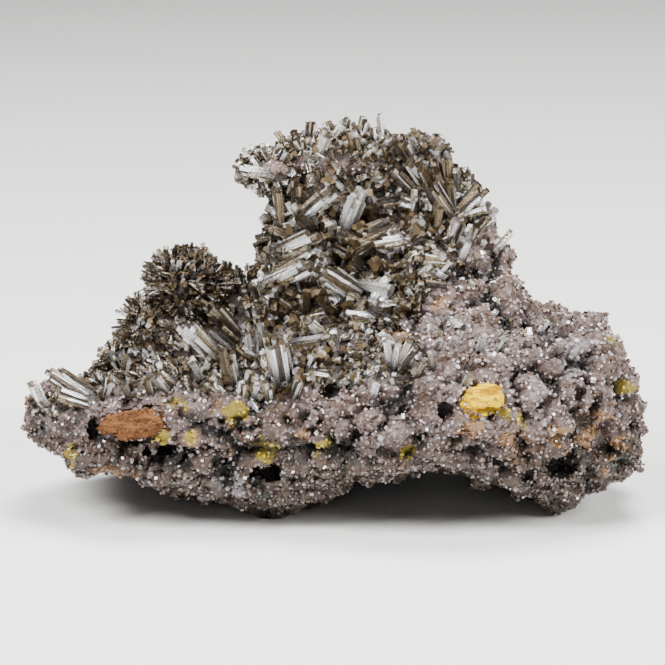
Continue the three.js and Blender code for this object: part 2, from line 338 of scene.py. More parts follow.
def crust_colour(finish):
    """Lilac crust with pale specks and brown patches, browner towards its foot and darker there as
    painted shade.
    """
    cloud = finish.noise(finish.place, CLOUD_SIZE, 4.0, 0.6)
    speck = finish.noise(finish.place, SPECK_SIZE, 3.0, 0.6)
    low = finish.part(finish.place, "Z").step(*BELT_HEIGHTS) * BELT_BROWN
    colour = finish.mix((cloud + low).step(0.46, 0.66), LILAC, BROWN)
    colour = finish.mix(speck.step(0.54, 0.68) * SPECK_SHARE, colour, PALE)
    colour = finish.mix(speck.step(0.46, 0.34) * SPECK_SHARE, colour, BROWN)
    # Darker towards the foot: painted shade.
    return finish.mix(low * BELT_SHADE, colour, PAINTED_SHADE)


def stains_and_crystal_shade(finish, colour):
    """Painted shade in dark brown under the crystals, and stains: patches of other crust and earth."""
    # Painted shade under the crystals.
    colour = finish.mix(finish.attribute("druse") * GROUND_SHADE_STRENGTH, colour, CRYSTAL_GROUND_SHADE)
    for name, (stain, strength) in STAINS.items():
        colour = finish.mix(finish.attribute(name).step(*STAIN_EDGE) * strength, colour, stain)
    return colour


def shaded(finish, colour):
    """The hollows darkened as painted shade."""
    depth = finish.attribute("hollow").step(*HOLLOW_EDGE)
    return finish.mix(depth * HOLLOW_SHADE_STRENGTH, colour, PAINTED_SHADE)


def crust_finish():
    """The rock between its grains: gritty, and darkened as painted shade between the grains."""
    finish = Finish("lilac_crust")
    grit = finish.noise(finish.place, GRIT_SIZE, 3.0, 0.6)
    rough = grit * 0.4 + 0.4
    normal = finish.bump(grit, GRIT_BUMP)
    colour = shaded(finish, stains_and_crystal_shade(finish, crust_colour(finish)))
    # Painted shade between the grains.
    colour = finish.mix(GRAIN_GAP_SHADE, colour, PAINTED_SHADE)
    return finish.feed(Base_Color=colour, Roughness=rough, Normal=normal)


def grain_finish():
    """Grains of the crust: pale and brown ones, the pale ones fading lower down as painted light from
    above, with painted shade at their roots and dull ends.
    """
    finish = Finish("crust_grains")
    tint = finish.attribute("tint")
    plain = 1 - finish.attribute("yellow").step(*STAIN_EDGE)
    own = finish.part(finish.attribute("own", "Vector"), "Z")
    end = own.step(*END_EDGE)
    # Pale grains paler higher up: painted light from above.
    light_from_above = finish.part(finish.place, "Z").step(*LIGHT_FROM_ABOVE_HEIGHTS) * 0.5 + 0.25
    bright = tint.step(0.6, 0.95) * light_from_above * (1 - end * 0.6)
    colour = stains_and_crystal_shade(finish, crust_colour(finish))
    colour = finish.mix(bright * plain, colour, BRIGHT_GRAIN)
    colour = finish.mix(tint.step(0.52, 0.08) * plain * 0.9, colour, BROWN)
    # Painted shade at the grains' roots, and in the hollows.
    colour = finish.mix(own.step(0.7, 0.1) * 0.55, shaded(finish, colour), PAINTED_SHADE)
    rough = tint * -0.2 + end * 0.25 + 0.42
    return finish.feed(Base_Color=colour, Roughness=rough, Metallic=0.2, IOR=2.0)


rock_look = crust_finish()
grain_look = grain_finish()
print("crust finishes made")

# %% Crystal finish
# Brown to grey is the crystals' own colour; the silver-white end is painted reflection.
TINTS_TO_PAINTED_SILVER = [
    (0.0, srgb(20, 14, 8)),
    (0.2, srgb(66, 47, 26)),
    (0.4, srgb(104, 87, 57)),
    (0.6, srgb(142, 127, 100)),
    (0.8, srgb(194, 191, 186)),
    (1.0, srgb(250, 251, 254)),
]
SIX = 6
# Painted shade at the prisms' roots.
ROOT = rgba(34, 22, 10)
END = rgba(50, 41, 30)
KEY_STEPS = (7.3, 61.0, 23.0)
# How far each side's painted glint moves its tint.
GLINT_CONTRAST = 2.3
STRIAE_STRETCH = (7.0, 7.0, 0.5)
STRIAE_MEAN = 0.53
STRIAE_CONTRAST = 0.9
STRIAE_BUMP = 0.3 * MM
CRYSTAL_INDEX = 2.3


def crystal_finish():
    """Lustrous prisms: a painted glint for each side, stripes along it, painted shade at the roots and
    dull ends.
    """
    finish = Finish("vanadinite")
    tint = finish.attribute("tint")
    own = finish.attribute("own", "Vector")
    across = finish.part(own, "X")
    height = across.other("Z")
    end = height.step(*END_EDGE)
    turn = across.other("Y").math("ARCTAN2", across)
    side = (turn * (SIX / (2 * math.pi))).math("FLOOR")
    key = finish.combined(side * KEY_STEPS[0], tint * KEY_STEPS[1], tint * KEY_STEPS[2])
    # A painted glint: each side of a prism lighter or darker at random, as if it caught the lamps.
    painted_glint = (finish.noise(key, 1.0, 0.0) - 0.5) * (1 - end)
    stretched = finish.vector("MULTIPLY", own, STRIAE_STRETCH)
    striae = finish.noise(finish.vector("ADD", stretched, key), 1.0, 3.0, 0.65)
    striae = striae - (striae - 0.5) * end
    shade = tint + painted_glint * GLINT_CONTRAST + (striae - STRIAE_MEAN) * STRIAE_CONTRAST
    ramp = finish.node("ShaderNodeValToRGB", {"stops": TINTS_TO_PAINTED_SILVER}, {0: shade})
    # Painted shade towards the roots.
    colour = finish.mix(height.step(0.65, 0.05) * 0.8, ramp, ROOT)
    colour = finish.mix(end * 0.85, colour, END)
    normal = finish.bump(striae, STRIAE_BUMP)
    rough = striae * 0.2 + end * 0.3 + 0.06
    metal = end * 0.3 + 0.7
    return finish.feed(
        Base_Color=colour, Roughness=rough, Normal=normal, Metallic=metal, IOR=CRYSTAL_INDEX
    )


crystal_look = crystal_finish()
print("crystal finish made")

# %% Earth finishes
CRUMB_SIZE = 0.5 * MM
EARTH_BUMP = 0.3 * MM
EARTH_ROUGHNESS = 0.95
EARTH_SHINE = 0.15


def earth_finish(name, body, streak, dark, run):
    """Dull earth with streaks along run and dark crumbs, and painted shade in its hollows."""
    finish = Finish(name)
    stretched = finish.vector("MULTIPLY", finish.place, run)
    band = finish.noise(stretched, 1.0, 3.0, 0.6)
    crumb = finish.noise(finish.place, CRUMB_SIZE, 3.0, 0.6)
    colour = finish.mix(band.step(0.45, 0.62), body, streak)
    colour = finish.mix(crumb.step(0.44, 0.3) * 0.8, colour, dark)
    # Painted shade in the hollows.
    colour = finish.mix(finish.attribute("hollow").step(0.3, 1.0) * 0.8, colour, dark)
    normal = finish.bump(crumb + band, EARTH_BUMP)
    return finish.feed(
        Base_Color=colour, Roughness=EARTH_ROUGHNESS, Specular_IOR_Level=EARTH_SHINE, Normal=normal
    )


yellow_look = earth_finish(
    "yellow_earth", body=rgba(200, 164, 0), streak=rgba(144, 104, 0), dark=rgba(84, 58, 4),
    run=(250, 500, 1500),
)
orange_look = earth_finish(
    "orange_earth", body=rgba(98, 64, 37), streak=rgba(76, 46, 25), dark=rgba(34, 20, 10),
    run=(300, 600, 700),
)
print("earth finishes made")

# %% [markdown]
# ## The rock's surface
# The solid rock is smooth between its ledges, and the real one is granular all over. Sculpting it
# by hand would be slow and could not be repeated, so a voxel remesh gives even small faces first,
# and a Geometry Nodes tree then pushes them in and out: swells, bedding ledges, cracks, pits and
# grit. The tree also stores how far each point is sunk, and the finishes paint shade into the hollows
# by that.

# %% Start and end a tree
BELOW_ALL = -1.0


def new_tree(name, sizes):
    """A Geometry Nodes tree with named inputs, and its input wires."""
    tree = bpy.data.node_groups.new(name, "GeometryNodeTree")
    tree.interface.new_socket("Geometry", in_out="INPUT", socket_type="NodeSocketGeometry")
    tree.interface.new_socket("Geometry", in_out="OUTPUT", socket_type="NodeSocketGeometry")
    for label, kind in sizes.items():
        tree.interface.new_socket(label, in_out="INPUT", socket_type="NodeSocket" + kind)
    graph = Graph(tree)
    start = graph.node("NodeGroupInput")
    return graph, {label: start.other(label) for label in ("Geometry", *sizes)}


def close_tree(graph, geometry, material):
    """Ends a tree: instances made real, nothing under the floor, flat faces, the material set."""
    real = graph.node("GeometryNodeRealizeInstances", None, {0: geometry})
    place = graph.node("GeometryNodeInputPosition")
    above = graph.vector("MAXIMUM", place, (BELOW_ALL, BELOW_ALL, 0.0))
    real = graph.node("GeometryNodeSetPosition", None, {"Geometry": real, "Position": above})
    flat = graph.node("GeometryNodeSetShadeSmooth", None, {"Geometry": real, "Shade Smooth": False})
    done = graph.node("GeometryNodeSetMaterial", None, {"Geometry": flat, "Material": material})
    graph.node("NodeGroupOutput", None, {"Geometry": done})
    return graph.tree


def named(graph, name, kind="FLOAT"):
    """An attribute that the mesh carries."""
    return graph.node("GeometryNodeInputNamedAttribute", {"data_type": kind}, {"Name": name})


def store(graph, geometry, name, value, kind="FLOAT"):
    """Gives every point an attribute."""
    settings = {"data_type": kind, "domain": "POINT"}
    inputs = {"Geometry": geometry, "Name": name, "Value": value}
    return graph.node("GeometryNodeStoreNamedAttribute", settings, inputs)


print("tree helpers ready")

# %% Grow meshes with a tree


def baked(stock):
    """The plain mesh of an object with its modifiers; the object goes."""
    graph = bpy.context.evaluated_depsgraph_get()
    made = bpy.data.meshes.new_from_object(
        stock.evaluated_get(graph), preserve_all_data_layers=True, depsgraph=graph
    )
    bpy.data.objects.remove(stock)
    return made


def even_faces(mesh, size):
    """The same form in faces of one small size."""
    stock = put("stock", mesh)
    remesh = stock.modifiers.new("even_faces", "REMESH")
    remesh.mode = "VOXEL"
    remesh.voxel_size = size
    return baked(stock)


def grown(mesh, tree, **inputs):
    """The plain mesh that a tree makes from a mesh."""
    stock = put("stock", mesh)
    grow = stock.modifiers.new("grow", "NODES")
    grow.node_group = tree
    for item in tree.interface.items_tree:
        if item.in_out == "INPUT" and item.name in inputs:
            grow[item.identifier] = inputs[item.name]
    return baked(stock)


print("mesh growers ready")

# %% Build the weathering tree
SWELL_SIZE = 5 * MM
BED_STRETCH = (0.22, 0.22, 1.0)
WANDER_SIZE = 2.5 * MM
WANDER = 1.6 * MM
LUMP_SIZE = 2.9 * MM
CELL_SIZE = 1.1 * MM
FINE_SIZE = 0.7 * MM
PATCH_SIZE = 8 * MM
CRACK_WIDTH = 0.025
LOW_HEIGHTS = (16 * MM, 8 * MM)
INSET_HEIGHTS = (8 * MM, 1 * MM)
FLOOR_HOLD = 0.8 * MM


def weathered_tree():
    """Pushes a surface in and out, and stores how far each point is sunk."""
    labels = ("Swell", "Ledge", "Bed", "Lump", "Grit", "Pit", "Inset")
    sizes = {**dict.fromkeys(labels, "Float"), "Material": "Material"}
    graph, given = new_tree("weathered_rock", sizes)
    place = graph.node("GeometryNodeInputPosition")
    normal = graph.node("GeometryNodeInputNormal")
    swell = graph.noise(place, SWELL_SIZE, 3.0, 0.55) - 0.5
    bedding = graph.vector("MULTIPLY", place, BED_STRETCH)
    bed = graph.noise(bedding, given["Bed"], 2.0, 0.5) - 0.5
    swirl = {"Vector": place, "Scale": 1 / WANDER_SIZE}
    wander = graph.node("ShaderNodeTexNoise", None, swirl, "Color")
    warped = graph.vector("ADD", place, graph.scaled(wander, WANDER))
    lumps = graph.node("ShaderNodeTexVoronoi", None, {"Vector": warped, "Scale": 1 / LUMP_SIZE})
    cells = graph.node("ShaderNodeTexVoronoi", None, {"Vector": warped, "Scale": 1 / CELL_SIZE})
    fine = graph.noise(place, FINE_SIZE, 2.0, 0.6) - 0.5
    cracks = bed.math("ABSOLUTE").step(CRACK_WIDTH, 0.0)
    height = graph.part(place, "Z")
    low = height.step(*LOW_HEIGHTS)
    uneven = graph.noise(place, PATCH_SIZE, 1.0).step(0.38, 0.6) + 0.35
    gaps = (lumps + low * 0.06).step(0.5, 0.8) * uneven
    sunk = gaps * (low * 0.4 + 0.8) + cracks * (low * 0.4 + 0.4) + named(graph, "cavity")
    inset = given["Inset"] * (height.step(*INSET_HEIGHTS) * 1.5 + 1)
    out = swell * given["Swell"] + bed * given["Ledge"] - sunk * given["Pit"] - inset
    out = out + (0.42 - lumps) * uneven * given["Lump"]
    out = out + (0.45 - cells) * given["Grit"] + fine * given["Grit"]
    on_floor = graph.combined(1.0, 1.0, height.step(0.0, FLOOR_HOLD))
    stored = store(graph, given["Geometry"], "hollow", sunk.limited())
    push = graph.vector("MULTIPLY", graph.scaled(normal, out), on_floor)
    shaped = graph.node("GeometryNodeSetPosition", None, {"Geometry": stored, "Offset": push})
    return close_tree(graph, shaped, given["Material"])


weathered = weathered_tree()
print("weathering tree made")

# %% [markdown]
# ## Stains, pits and crystal ground
# Some places of the rock are stained or pitted, and crystals stand on others. Stains and pits are
# listed by their place in the front view, and crystal ground is measured from the solids. Each
# becomes a mask on the rock's points, and the trees and finishes read the masks by name; the crystal
# ground mask also lays painted shade on the rock under the crystals.

# %% List stains and pits
# Every row has an image place and a radius in millimetres.
SPOTS = {
    "pink": [(490, 255, 5.0), (480, 290, 4.0), (510, 245, 4.0), (240, 256, 2.0)],
    # The last pale spot, at (575, 355), is painted light on a place further from the key lamp.
    "pale": [(541, 388, 1.6), (452, 338, 1.0), (470, 455, 1.0), (230, 484, 2.0), (575, 355, 3.0)],
    "umber": [
        (85, 465, 3.0), (105, 462, 3.0), (135, 456, 3.0), (160, 452, 2.5), (185, 456, 2.0),
        (270, 440, 1.6), (320, 432, 1.6), (365, 456, 1.6), (420, 452, 1.6), (500, 470, 2.4),
        (545, 470, 2.6), (585, 456, 2.6), (555, 352, 1.6), (575, 395, 1.6), (600, 405, 1.4),
        (480, 262, 1.2), (462, 282, 1.4),
    ],
    "ochre": [
        (600, 430, 3.4), (585, 445, 2.4), (618, 450, 2.2), (560, 436, 1.5), (440, 300, 1.2),
        (400, 330, 1.2), (470, 430, 1.6), (300, 440, 1.4), (115, 476, 2.2), (510, 440, 1.6),
    ],
    "orange": [
        (75, 487, 1.6), (125, 478, 1.8), (215, 407, 1.2), (525, 455, 2.2), (190, 440, 1.4),
        (350, 440, 1.2), (430, 255, 1.6),
    ],
    "yellow": [
        (175, 400, 1.4), (162, 438, 1.3), (190, 438, 0.9), (236, 414, 1.8), (266, 454, 1.5),
        (325, 452, 1.9), (67, 453, 1.2), (522, 419, 0.9), (505, 413, 0.8), (628, 388, 1.4),
        (616, 341, 0.9), (405, 455, 0.8),
    ],
    "glitter": [
        (440, 330, 4.5), (480, 345, 4.0), (415, 365, 3.5), (520, 330, 3.5), (470, 305, 4.0),
        (490, 255, 4.0), (505, 240, 3.0), (480, 235, 3.0),
    ],
}
CAVITIES = [
    (514, 385, 0.8), (556, 395, 1.1), (599, 406, 1.1), (627, 416, 0.9), (554, 355, 0.9),
    (445, 409, 1.1), (561, 471, 2.0), (608, 448, 1.2), (155, 450, 1.1), (185, 455, 1.2),
    (240, 425, 1.0), (265, 475, 1.2), (330, 390, 1.2), (90, 425, 0.9), (350, 470, 1.0),
    (420, 450, 1.0), (500, 470, 1.0), (470, 300, 1.0), (538, 347, 0.6), (546, 352, 0.7),
    (562, 361, 0.6), (568, 402, 0.8), (580, 408, 0.8), (590, 384, 0.8), (205, 420, 0.6),
    (222, 424, 0.7), (252, 428, 0.7), (285, 418, 0.8), (300, 415, 0.8), (318, 421, 0.6),
    (120, 455, 0.7), (175, 462, 0.8), (210, 450, 0.8), (380, 430, 0.8), (400, 405, 0.7),
    (455, 445, 0.8), (478, 262, 0.6), (495, 248, 0.6), (505, 262, 0.7), (486, 238, 0.6),
    (470, 275, 0.7), (500, 285, 0.7), (97, 432, 0.9), (112, 468, 0.9), (140, 465, 1.2),
    (165, 466, 1.0), (300, 455, 0.9), (315, 472, 0.8), (372, 462, 0.8), (290, 484, 0.8),
    (215, 464, 0.9), (310, 432, 0.9), (330, 438, 0.8), (530, 462, 0.9),
]
print("stains and pits listed:", sum(map(len, SPOTS.values())), len(CAVITIES))

# %% Measure masks
# A line has its height at the middle and its rise to the right.
LEDGE_LINE = (18.3 * MM, 0.075)
SADDLE_LINE = (15.5 * MM, 1.05)
LINE_FADE = 1.5 * MM
BACK_OF_SLOPE = 11 * MM
BACK_FADE = 4 * MM
RAG_SIZE = 0.9 * MM
RAG_MEAN = 1.2
RAG_SWING = 0.9


def points_of(mesh):
    """All points of a mesh as one array."""
    flat = np.empty(len(mesh.vertices) * 3)
    mesh.vertices.foreach_get("co", flat)
    return flat.reshape(-1, 3)


def spot_mask(points, spots):
    """1 in the middle of the nearest ragged spot, 0 outside all of them."""
    ragged = np.array([RAG_MEAN + RAG_SWING * noise.noise(Vector(p) / RAG_SIZE) for p in points])
    mask = np.zeros(len(points))
    for x, y, radius in spots:
        distance = np.linalg.norm(points - np.array(seen(x, y)), axis=1)
        mask = np.maximum(mask, 1 - distance * ragged / (radius * RAG_MEAN * MM))
    return mask


def near_mask(points, node, reach):
    """1 where a solid lies within reach."""
    surface = surface_of(merged_copy(node))
    found = [surface.find_nearest(Vector(p), reach)[0] is not None for p in points]
    return np.array(found, float)


def mark(mesh, name, values):
    """Stores one number for each point."""
    layer = mesh.attributes.get(name) or mesh.attributes.new(name, "FLOAT", "POINT")
    layer.data.foreach_set("value", np.ascontiguousarray(values, dtype=np.float32))


def druse_mask(points):
    """The crystal slope: above the front ledge on the left, above a rising line on the right."""
    x, y, z = points.T
    ledge, saddle = (height + rise * x for height, rise in (LEDGE_LINE, SADDLE_LINE))
    above = np.clip((z - np.maximum(ledge, saddle)) / LINE_FADE, 0, 1)
    return above * np.clip((BACK_OF_SLOPE - y) / BACK_FADE, 0, 1)


print("mask makers ready")

# %% Mark the rock and weather it
CLUSTERS = ("tower_crystals", "knob_crystals", "slope_crystals", "left_crystals", "fan_crystals")
CLUSTER_REACH = 1.5 * MM
RIM_REACH = 1.6 * MM
RIMS = {"orange_lump": 0.1, "yellow_lump": 0.5}
CAVITY_STRENGTH = 2
ROCK_FACE = 0.38 * MM
FOOT = 0.25 * MM

rock_even = even_faces(rock_solid, ROCK_FACE)
rock_points = points_of(rock_even)
masks = {name: spot_mask(rock_points, spots) for name, spots in SPOTS.items()}
for name, mask in masks.items():
    mark(rock_even, name, mask)
slope = druse_mask(rock_points)
clear = np.ones(len(rock_points))
for cluster in CLUSTERS:
    covered = near_mask(rock_points, cluster, CLUSTER_REACH)
    if cluster == "tower_crystals":
        covered *= slope > 0
    mark(rock_even, cluster, covered)
    clear *= 1 - covered
druse = np.maximum(slope, 1 - clear)
rims = sum(near_mask(rock_points, lump, RIM_REACH) * height for lump, height in RIMS.items())
pits = np.clip(spot_mask(rock_points, CAVITIES) * CAVITY_STRENGTH, 0, 1)
mark(rock_even, "cavity", pits - rims)
mark(rock_even, "druse", druse)
mark(rock_even, "bare_druse", druse * clear)
bare = np.clip((rock_points[:, 2] - FOOT) / FOOT, 0, 1)
crust = bare * (1 - druse)
mark(rock_even, "crust", crust)
mark(rock_even, "plain_crust", crust * (masks["yellow"] <= 0) * (masks["orange"] <= 0))
rock_mesh = grown(
    rock_even, weathered, Swell=2.2 * MM, Ledge=1.8 * MM, Bed=2.2 * MM, Lump=1.5 * MM,
    Grit=0.5 * MM, Pit=1.3 * MM, Inset=0.25 * MM, Material=rock_look,
)
print("rock faces:", len(rock_mesh.polygons), "with druse on", round(100 * druse.mean()), "%")

# %% [markdown]
# ## Keeping a piece
# Each finished mesh becomes one object at the origin. It rides on the specimen's only body and stands
# for the solid that it dresses.

# %% Keep finished meshes


def joined(meshes):
    """One mesh from several, by way of Blender's own mesh joining, attributes included."""
    work = [put("part", mesh) for mesh in meshes]
    with bpy.context.temp_override(
        active_object=work[0], selected_objects=work, selected_editable_objects=work
    ):
        bpy.ops.object.join()
    mesh = work[0].data
    bpy.data.objects.remove(work[0])
    return mesh


triangles = {}


def keep(name, mesh, node):
    """Puts a mesh in the scene as a piece that stands for a solid."""
    mesh.name = name
    piece = put(name, mesh)
    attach(piece, "root")
    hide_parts(node)
    triangles[name] = sum(len(p.vertices) - 2 for p in mesh.polygons)
    print(name, triangles[name], "triangles")


keep("rock", rock_mesh, "matrix")

# %% [markdown]
# ## Knobs, brim and cap
# On the left the crystals radiate from a few points and make balls, and at the top a brim, a cap and
# a shoulder of fine crystals stand out from the tower. Each has a rounded core, roughened by the
# rock's own tree, and turf on the core. The turf follows the core's normals, so it radiates by itself.

# %% Make the cores
SHIFT = VIEW_TARGET.y / MM
CORE_DETAIL = 4
BAND_STRENGTH = 3
BAND_PINK = 0.2
# Each core has its middle and its radii in millimetres, the depth counted from the view target.
TOWER_CORES = [
    ((-7.6, 2, 41.2), (3.6, 4.6, 2.2)),
    ((1.5, 3, 42.8), (8.5, 4.5, 2.8)),
    ((11, 3.6, 43.2), (3, 3.4, 1.9)),
    ((14.2, 3, 36.6), (3.8, 4, 4.4)),
]
KNOB_CORES = [((-18.2, -1, 26.8), (4.2, 4.2, 4.2)), ((-23.2, -3, 22.4), (2, 2, 2))]
LEFT_CORES = [((-27, -4.5, 18.6), (1.6, 1.6, 1.6)), ((-30, -7, 15.6), (1.6, 1.6, 1.6))]
BAND_SPOTS = [
    (275, 166, 1.8), (300, 168, 1.8), (325, 170, 1.8), (350, 172, 1.8), (375, 168, 1.4),
]


def core_mesh(cores):
    """Rounded lumps, roughened, with a mask that covers them all."""
    work = bmesh.new()
    for (x, y, z), radii in cores:
        size = Matrix.Diagonal((*(r * MM for r in radii), 1))
        place = Matrix.Translation((x * MM, (y + SHIFT) * MM, z * MM))
        bmesh.ops.create_icosphere(work, subdivisions=CORE_DETAIL, radius=1, matrix=place @ size)
    mesh = bpy.data.meshes.new("core")
    work.to_mesh(mesh)
    work.free()
    mark(mesh, "druse", np.ones(len(mesh.vertices)))
    return grown(
        mesh, weathered, Swell=0.9 * MM, Ledge=0.0, Bed=2 * MM, Lump=0.6 * MM, Grit=0.3 * MM,
        Pit=0.3 * MM, Inset=0.0, Material=rock_look,
    )


tower_core = core_mesh(TOWER_CORES)
knob_core = core_mesh(KNOB_CORES)
left_core = core_mesh(LEFT_CORES)
grounds += [surface_of(mesh) for mesh in (tower_core, knob_core, left_core)]
band = np.clip(spot_mask(points_of(tower_core), BAND_SPOTS) * BAND_STRENGTH, 0, 1)
mark(tower_core, "pink", band * BAND_PINK)
mark(tower_core, "crust", band)
mark(tower_core, "druse", 1 - band)
print("core faces:", len(tower_core.polygons), len(knob_core.polygons), len(left_core.polygons))

# %% [markdown]
# ## Prisms
# A vanadinite prism has six flat sides and a flat end. Its mesh is made inside the tree: a flat
# face is pulled up and narrowed a little. The number of sides is an input, because the grains of the
# crust are made the same way with four or five. Every prism keeps its own coordinates in an
# attribute, which the stripes of the finish follow. A bundle is many prisms with nearly the same
# direction, so points with an axis, a length and a width are copied and scattered across it.

# %% Make one prism in a tree
NARROW = 0.93


def prism(graph, sides):
    """A prism of width 1 and length 1, a little narrower at its flat end."""
    face = graph.node(
        "GeometryNodeMeshCircle", {"fill_type": "NGON"}, {"Vertices": sides, "Radius": 0.5}
    )
    body = graph.node(
        "GeometryNodeExtrudeMesh", {"mode": "FACES"}, {"Mesh": face, "Offset Scale": 1.0}
    )
    body = graph.node(
        "GeometryNodeScaleElements", {"domain": "FACE"},
        {"Geometry": body, "Selection": body.other("Top"), "Scale": NARROW},
    )
    return store(graph, body, "own", graph.node("GeometryNodeInputPosition"), "FLOAT_VECTOR")


def chance(graph, low, high, seed):
    """A random number for each point."""
    settings = {"data_type": "FLOAT"}
    return graph.node("FunctionNodeRandomValue", settings, {2: low, 3: high, 8: seed}, 1)


print("prism maker ready")

# %% Scatter prisms across bundles
SPREAD = 0.38
SLIP = 0.1
OWN_WIDTH = (0.95, 1.45)
OWN_LENGTH = (0.68, 1.0)
OWN_TINT = (-0.28, 0.22)
BUNDLE_TILT = math.radians(3)


def fill_bundles(graph, points, seed, tilt, sides):
    """Prisms on points that carry axis, length, width, count and tint."""
    copies = graph.node(
        "GeometryNodeDuplicateElements", {"domain": "POINT"},
        {"Geometry": points, "Amount": named(graph, "count", "INT")},
    )
    width = named(graph, "width")
    count = named(graph, "count")
    length = named(graph, "length")
    axis = named(graph, "axis", "FLOAT_VECTOR")
    along = graph.node("FunctionNodeAlignRotationToVector", {"axis": "Z"}, {"Vector": axis})
    turn = chance(graph, 0.0, 2 * math.pi, seed)
    away = (chance(graph, 0.0, 1.0, seed + 1) ** 0.5) * width * SPREAD * (1 - 1 / count)
    slip = length * chance(graph, -SLIP, SLIP, seed + 2)
    flat = graph.combined(turn.math("COSINE") * away, turn.math("SINE") * away, slip)
    offset = graph.node("FunctionNodeRotateVector", None, {0: flat, 1: along})
    spread = graph.node("GeometryNodeSetPosition", None, {"Geometry": copies, "Offset": offset})
    nods = [chance(graph, -tilt, tilt, seed + step) for step in (3, 4)]
    lean = graph.node("FunctionNodeEulerToRotation", None, {0: graph.combined(*nods, turn)})
    facing = graph.node(
        "FunctionNodeRotateRotation", {"rotation_space": "LOCAL"}, {0: along, 1: lean}
    )
    own_width = width / count ** 0.5 * chance(graph, *OWN_WIDTH, seed + 5)
    own_length = length * chance(graph, *OWN_LENGTH, seed + 6)
    scale = graph.combined(own_width, own_width, own_length)
    tint = (named(graph, "tint") + chance(graph, *OWN_TINT, seed + 7)).limited()
    tinted = store(graph, spread, "tint", tint)
    return graph.node(
        "GeometryNodeInstanceOnPoints", None,
        {"Points": tinted, "Instance": prism(graph, sides), "Rotation": facing, "Scale": scale},
    )


def bundle_tree():
    """Fills every point of a mesh with a bundle."""
    graph, given = new_tree("prism_bundles", {"Material": "Material"})
    points = graph.node("GeometryNodeMeshToPoints", None, {"Mesh": given["Geometry"]})
    prisms = fill_bundles(graph, points, seed=11, tilt=BUNDLE_TILT, sides=SIX)
    return close_tree(graph, prisms, given["Material"])


bundles = bundle_tree()
print("bundle tree made")

# %% List the larger bundles
# Every row has the image places of a root and a tip, a width in image steps, a lean to the viewer
# in degrees, and a tint from 0 for brown to 1 for silver, the palest tints being painted reflection.
CROWN = [
    (264, 174, 237, 168, 14, 10, 0.8), (258, 166, 247, 152, 8, 0, 0.6),
    (284, 142, 276, 131, 8, 10, 0.6), (312, 132, 313, 119, 13, 5, 0.65),
    (335, 138, 348, 121, 12, 20, 0.95), (320, 153, 330, 132, 12, 30, 0.85),
    (357, 153, 352, 132, 12, 35, 0.8), (382, 140, 378, 111, 9, 10, 1.0),
    (381, 137, 393, 147, 9, 60, 0.95), (366, 155, 379, 145, 6, 30, 0.9),
    (305, 156, 303, 143, 7, 40, 0.7), (408, 141, 420, 128, 12, 10, 0.5),
    (428, 146, 440, 134, 12, 10, 0.5), (300, 150, 292, 138, 8, 20, 0.6),
    (345, 131, 347, 118, 13, 10, 0.7), (362, 132, 366, 118, 12, 10, 0.75),
    (330, 131, 326, 119, 12, 10, 0.7), (270, 160, 262, 146, 8, 5, 0.55),
    (396, 150, 412, 160, 9, 40, 0.75),
]
SHOULDER = [
    (416, 170, 398, 143, 16, 42, 0.6), (431, 192, 410, 162, 20, 45, 0.4),
    (448, 214, 426, 184, 18, 42, 0.6), (438, 176, 430, 150, 14, 20, 0.3),
    (447, 203, 438, 174, 12, 32, 0.45), (450, 180, 447, 152, 14, 15, 0.75),
    (456, 196, 458, 165, 13, 15, 0.5), (453, 209, 450, 182, 12, 32, 0.35),
    (458, 212, 482, 188, 16, 15, 0.5), (462, 215, 486, 208, 10, 20, 0.75),
    (452, 240, 460, 218, 16, 35, 0.7), (463, 255, 470, 240, 8, 30, 0.95),
    (470, 240, 478, 222, 12, 20, 0.35), (415, 190, 392, 165, 20, 30, 0.2),
    (500, 246, 512, 231, 9, 10, 0.5), (412, 210, 416, 196, 9, 35, 0.85),
    (432, 230, 436, 205, 14, 30, 0.3), (440, 238, 425, 225, 12, 35, 0.4),
    (475, 232, 490, 215, 12, 20, 0.55),
]
TOWER_FRONT = [
    (307, 213, 334, 192, 20, 35, 0.85), (348, 221, 358, 194, 18, 40, 0.95),
    (355, 195, 345, 180, 10, 40, 0.8), (298, 206, 297, 180, 16, 30, 0.5),
    (283, 225, 278, 185, 10, 20, 0.3), (385, 225, 350, 242, 22, 45, 0.4),
    (405, 240, 372, 248, 14, 45, 0.6), (285, 200, 264, 190, 10, 5, 0.3),
    (283, 235, 268, 228, 9, 5, 0.4), (312, 228, 296, 214, 14, 40, 0.2),
    (330, 222, 318, 216, 10, 40, 0.3), (395, 205, 375, 210, 14, 45, 0.15),
    (275, 210, 262, 205, 8, 5, 0.5), (272, 222, 262, 222, 8, 5, 0.7),
    (322, 178, 318, 162, 10, 30, 0.6), (372, 182, 380, 168, 10, 30, 0.5),
    (340, 172, 332, 160, 9, 30, 0.6),
]
VALLEY = [
    (280, 252, 318, 238, 22, 40, 0.8), (270, 282, 310, 262, 24, 35, 0.75),
    (352, 290, 316, 268, 26, 40, 0.7), (350, 262, 345, 270, 12, 70, 0.2),
    (306, 312, 306, 289, 13, 40, 0.25), (272, 292, 297, 308, 12, 45, 0.4),
    (362, 285, 395, 292, 14, 45, 0.8), (446, 262, 412, 258, 12, 35, 0.65),
    (440, 285, 420, 283, 10, 40, 0.15), (300, 300, 284, 292, 14, 40, 0.3),
    (330, 312, 320, 298, 12, 40, 0.4), (395, 272, 408, 262, 10, 40, 0.4),
    (335, 248, 350, 258, 12, 50, 0.35), (375, 262, 392, 270, 12, 50, 0.35),
    (255, 300, 262, 282, 12, 30, 0.4), (264, 262, 258, 250, 10, 10, 0.5),
]
